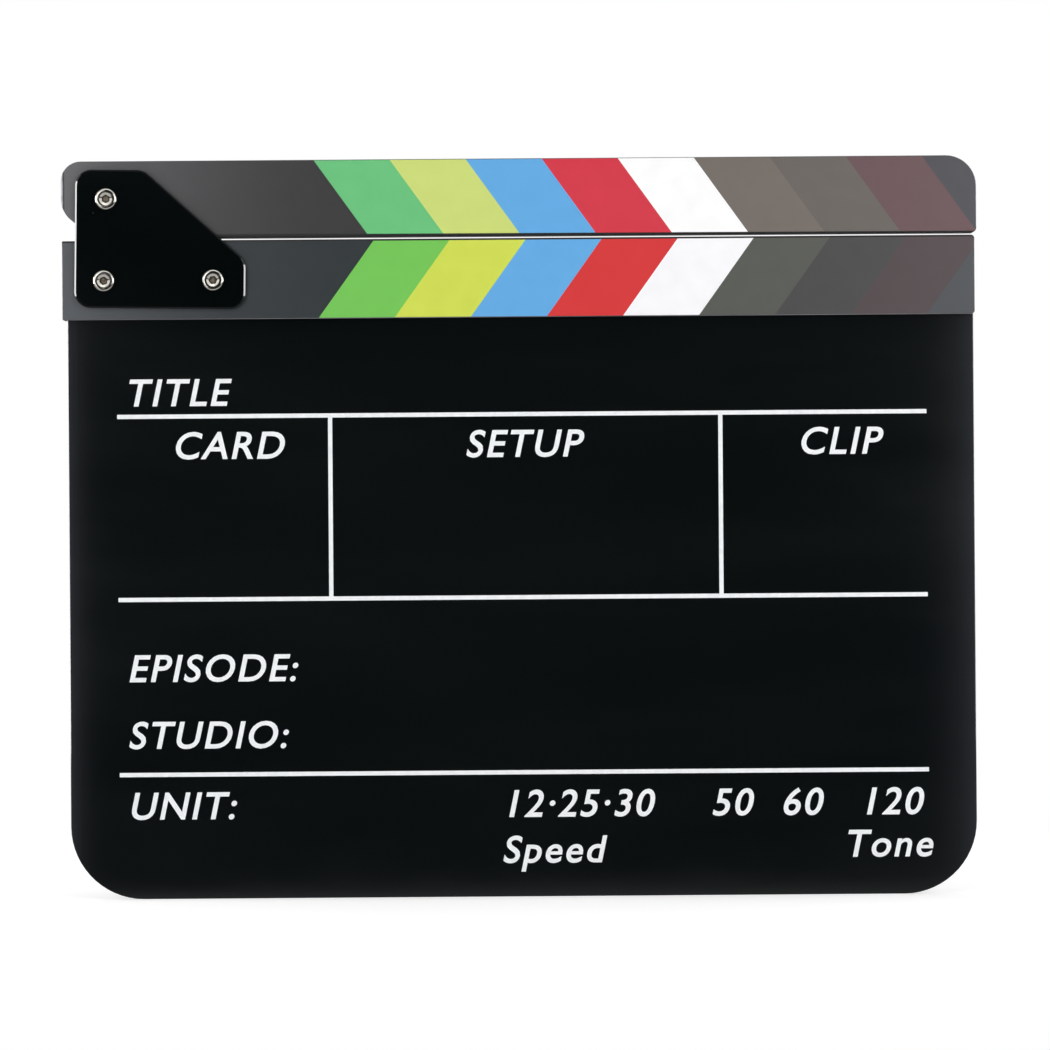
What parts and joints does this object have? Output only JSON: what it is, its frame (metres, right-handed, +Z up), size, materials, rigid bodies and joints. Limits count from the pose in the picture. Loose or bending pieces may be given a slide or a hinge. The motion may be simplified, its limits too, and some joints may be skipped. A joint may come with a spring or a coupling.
{
  "type": "film clapperboard",
  "caption": "Film clapperboard: black acrylic slate held in a grooved striped stick, with a second striped stick that swings on a pivot between hinge plates to clap shut.",
  "frame": {"origin": "middle of the slate's bottom edge, on the mid-plane of the slate's thickness", "axes": "+X to the right along the sticks, away from the hinge; +Y from the front to the back; +Z up from the slate to the sticks"},
  "size_m": [0.301, 0.0266, 0.2429],
  "materials": {
    "slate_acrylic": "gloss black cast acrylic sheet",
    "plate_acrylic": "gloss black acrylic with bevelled edges",
    "stick_paint": "hardwood with satin black paint",
    "striped_film": "printed vinyl film with coloured and grey slanted stripes",
    "bright_steel": "nickel-plated steel",
    "black_steel": "black-oxide steel",
    "bush_brass": "turned brass",
    "nylon": "natural nylon"
  },
  "bodies": {
    "slate": {"slate_board": "slate_acrylic", "front_hinge_plate": "plate_acrylic", "rear_hinge_plate": "plate_acrylic", "lower_stick": "stick_paint", "lower_stick_print": "striped_film", "pivot_bush": "bush_brass", "front_pivot_washer": "nylon", "rear_pivot_washer": "nylon", "pivot_lock_insert": "nylon", "pivot_screw": "bright_steel", "left_plate_screw": "bright_steel", "right_plate_screw": "bright_steel", "pivot_steel_washer": "bright_steel", "left_plate_washer": "bright_steel", "right_plate_washer": "bright_steel", "pivot_lock_nut": "bright_steel", "left_plate_nut": "bright_steel", "right_plate_nut": "bright_steel", "slate_screw_1": "black_steel", "slate_screw_2": "black_steel", "slate_screw_3": "black_steel", "slate_screw_4": "black_steel"},
    "clap_stick": {"upper_stick": "stick_paint", "upper_stick_print": "striped_film"}
  },
  "joints": [
    {"name": "clap", "type": "hinge", "parent": "slate", "child": "clap_stick", "pos_m": [-0.13565, 0, 0.2302], "axis": [0, -1, 0], "range_deg": [-0.15, 45]}
  ]
}
